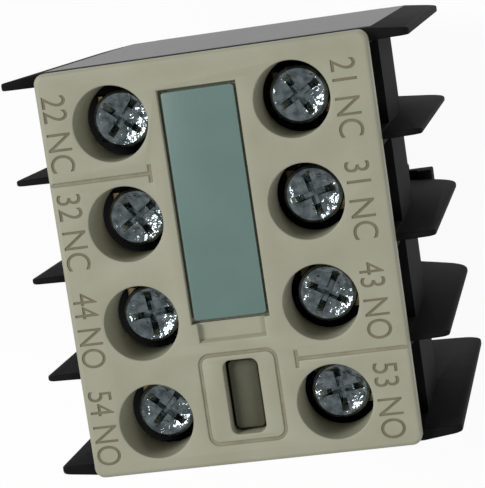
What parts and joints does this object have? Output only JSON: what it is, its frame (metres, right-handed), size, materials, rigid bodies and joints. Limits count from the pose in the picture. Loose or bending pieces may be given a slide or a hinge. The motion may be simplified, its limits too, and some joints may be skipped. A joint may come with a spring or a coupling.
{
  "type": "auxiliary contact block",
  "caption": "Clip-on auxiliary contact block for a contactor: moulded housing with partition fins, screw terminals, a sliding contact carrier and a label plate.",
  "frame": {"origin": "middle of the block's outline, on the plane of the ends of the rear feet", "axes": "+Z out of the front face, +X towards the odd-numbered terminals, +Y towards the first normally closed pole"},
  "size_m": [0.036, 0.0366, 0.051],
  "materials": {
    "cover_grey": "fine moulded grain, beige grey",
    "housing_black": "satin moulded thermoset, black",
    "label_teal": "smooth printable plate, petrol green",
    "carrier_olive": "moulded, dark olive brown",
    "zinc_screw": "bright zinc plated",
    "zinc_washer": "zinc plated steel",
    "terminal_brass": "rolled brass strip",
    "contact_silver": "dull silver alloy",
    "spring_steel": "drawn spring wire"
  },
  "bodies": {
    "housing_body": {"front_cover": "cover_grey", "housing": "housing_black", "base_plate": "housing_black", "label_plate": "label_teal", "return_springs": "spring_steel", "fixed_contact_21": "terminal_brass", "fixed_contact_22": "terminal_brass", "fixed_contact_31": "terminal_brass", "fixed_contact_32": "terminal_brass", "fixed_contact_43": "terminal_brass", "fixed_contact_44": "terminal_brass", "fixed_contact_53": "terminal_brass", "fixed_contact_54": "terminal_brass", "fixed_tip_21": "contact_silver", "fixed_tip_22": "contact_silver", "fixed_tip_31": "contact_silver", "fixed_tip_32": "contact_silver", "fixed_tip_43": "contact_silver", "fixed_tip_44": "contact_silver", "fixed_tip_53": "contact_silver", "fixed_tip_54": "contact_silver"},
    "carrier": {"contact_carrier": "carrier_olive", "contact_spring_21_22": "spring_steel", "contact_spring_31_32": "spring_steel", "contact_spring_43_44": "spring_steel", "contact_spring_53_54": "spring_steel"},
    "bridge_21_22": {"contact_bridge_21_22": "terminal_brass", "bridge_tips_21_22": "contact_silver"},
    "bridge_31_32": {"contact_bridge_31_32": "terminal_brass", "bridge_tips_31_32": "contact_silver"},
    "bridge_43_44": {"contact_bridge_43_44": "terminal_brass", "bridge_tips_43_44": "contact_silver"},
    "bridge_53_54": {"contact_bridge_53_54": "terminal_brass", "bridge_tips_53_54": "contact_silver"},
    "clamp_21": {"clamp_washer_21": "zinc_washer"},
    "screw_21": {"terminal_screw_21": "zinc_screw"},
    "clamp_22": {"clamp_washer_22": "zinc_washer"},
    "screw_22": {"terminal_screw_22": "zinc_screw"},
    "clamp_31": {"clamp_washer_31": "zinc_washer"},
    "screw_31": {"terminal_screw_31": "zinc_screw"},
    "clamp_32": {"clamp_washer_32": "zinc_washer"},
    "screw_32": {"terminal_screw_32": "zinc_screw"},
    "clamp_43": {"clamp_washer_43": "zinc_washer"},
    "screw_43": {"terminal_screw_43": "zinc_screw"},
    "clamp_44": {"clamp_washer_44": "zinc_washer"},
    "screw_44": {"terminal_screw_44": "zinc_screw"},
    "clamp_53": {"clamp_washer_53": "zinc_washer"},
    "screw_53": {"terminal_screw_53": "zinc_screw"},
    "clamp_54": {"clamp_washer_54": "zinc_washer"},
    "screw_54": {"terminal_screw_54": "zinc_screw"}
  },
  "joints": [
    {"name": "carrier_slide", "type": "slide", "parent": "housing_body", "child": "carrier", "axis": [0, 0, -1], "range_m": [0, 0.0045], "stiffness_N_per_m": 250, "springref_m": -0.006, "deforming": ["return_springs"]},
    {"name": "bridge_slide_21_22", "type": "slide", "parent": "carrier", "child": "bridge_21_22", "axis": [0, 0, 1], "range_m": [0, 0.0015], "deforming": ["contact_spring_21_22"]},
    {"name": "bridge_slide_31_32", "type": "slide", "parent": "carrier", "child": "bridge_31_32", "axis": [0, 0, 1], "range_m": [0, 0.0015], "deforming": ["contact_spring_31_32"]},
    {"name": "bridge_slide_43_44", "type": "slide", "parent": "carrier", "child": "bridge_43_44", "axis": [0, 0, 1], "range_m": [0, 0.0015], "deforming": ["contact_spring_43_44"]},
    {"name": "bridge_slide_53_54", "type": "slide", "parent": "carrier", "child": "bridge_53_54", "axis": [0, 0, 1], "range_m": [0, 0.0015], "deforming": ["contact_spring_53_54"]},
    {"name": "clamp_lift_21", "type": "slide", "parent": "housing_body", "child": "clamp_21", "axis": [0, 0, 1], "range_m": [0, 0.0024]},
    {"name": "screw_turn_21", "type": "hinge", "parent": "clamp_21", "child": "screw_21", "pos_m": [0.00755, 0.013, 0.045], "axis": [0, 0, 1], "range_deg": [0, 1440]},
    {"name": "clamp_lift_22", "type": "slide", "parent": "housing_body", "child": "clamp_22", "axis": [0, 0, 1], "range_m": [0, 0.0024]},
    {"name": "screw_turn_22", "type": "hinge", "parent": "clamp_22", "child": "screw_22", "pos_m": [-0.00835, 0.013, 0.045], "axis": [0, 0, 1], "range_deg": [0, 1440]},
    {"name": "clamp_lift_31", "type": "slide", "parent": "housing_body", "child": "clamp_31", "axis": [0, 0, 1], "range_m": [0, 0.0024]},
    {"name": "screw_turn_31", "type": "hinge", "parent": "clamp_31", "child": "screw_31", "pos_m": [0.00755, 0.0042, 0.045], "axis": [0, 0, 1], "range_deg": [0, 1440]},
    {"name": "clamp_lift_32", "type": "slide", "parent": "housing_body", "child": "clamp_32", "axis": [0, 0, 1], "range_m": [0, 0.0024]},
    {"name": "screw_turn_32", "type": "hinge", "parent": "clamp_32", "child": "screw_32", "pos_m": [-0.00835, 0.0042, 0.045], "axis": [0, 0, 1], "range_deg": [0, 1440]},
    {"name": "clamp_lift_43", "type": "slide", "parent": "housing_body", "child": "clamp_43", "axis": [0, 0, 1], "range_m": [0, 0.0024]},
    {"name": "screw_turn_43", "type": "hinge", "parent": "clamp_43", "child": "screw_43", "pos_m": [0.00755, -0.0046, 0.045], "axis": [0, 0, 1], "range_deg": [0, 1440]},
    {"name": "clamp_lift_44", "type": "slide", "parent": "housing_body", "child": "clamp_44", "axis": [0, 0, 1], "range_m": [0, 0.0024]},
    {"name": "screw_turn_44", "type": "hinge", "parent": "clamp_44", "child": "screw_44", "pos_m": [-0.00835, -0.0046, 0.045], "axis": [0, 0, 1], "range_deg": [0, 1440]},
    {"name": "clamp_lift_53", "type": "slide", "parent": "housing_body", "child": "clamp_53", "axis": [0, 0, 1], "range_m": [0, 0.0024]},
    {"name": "screw_turn_53", "type": "hinge", "parent": "clamp_53", "child": "screw_53", "pos_m": [0.00755, -0.0134, 0.045], "axis": [0, 0, 1], "range_deg": [0, 1440]},
    {"name": "clamp_lift_54", "type": "slide", "parent": "housing_body", "child": "clamp_54", "axis": [0, 0, 1], "range_m": [0, 0.0024]},
    {"name": "screw_turn_54", "type": "hinge", "parent": "clamp_54", "child": "screw_54", "pos_m": [-0.00835, -0.0134, 0.045], "axis": [0, 0, 1], "range_deg": [0, 1440]}
  ],
  "couplings": [
    {"joint": "bridge_slide_21_22", "follows": "carrier_slide", "ratio": 0.33333},
    {"joint": "bridge_slide_31_32", "follows": "carrier_slide", "ratio": 0.33333},
    {"joint": "bridge_slide_43_44", "follows": "carrier_slide", "ratio": 0.33333},
    {"joint": "bridge_slide_53_54", "follows": "carrier_slide", "ratio": 0.33333},
    {"joint": "screw_turn_21", "follows": "clamp_lift_21", "rad_per_m": 10472},
    {"joint": "screw_turn_22", "follows": "clamp_lift_22", "rad_per_m": 10472},
    {"joint": "screw_turn_31", "follows": "clamp_lift_31", "rad_per_m": 10472},
    {"joint": "screw_turn_32", "follows": "clamp_lift_32", "rad_per_m": 10472},
    {"joint": "screw_turn_43", "follows": "clamp_lift_43", "rad_per_m": 10472},
    {"joint": "screw_turn_44", "follows": "clamp_lift_44", "rad_per_m": 10472},
    {"joint": "screw_turn_53", "follows": "clamp_lift_53", "rad_per_m": 10472},
    {"joint": "screw_turn_54", "follows": "clamp_lift_54", "rad_per_m": 10472}
  ]
}
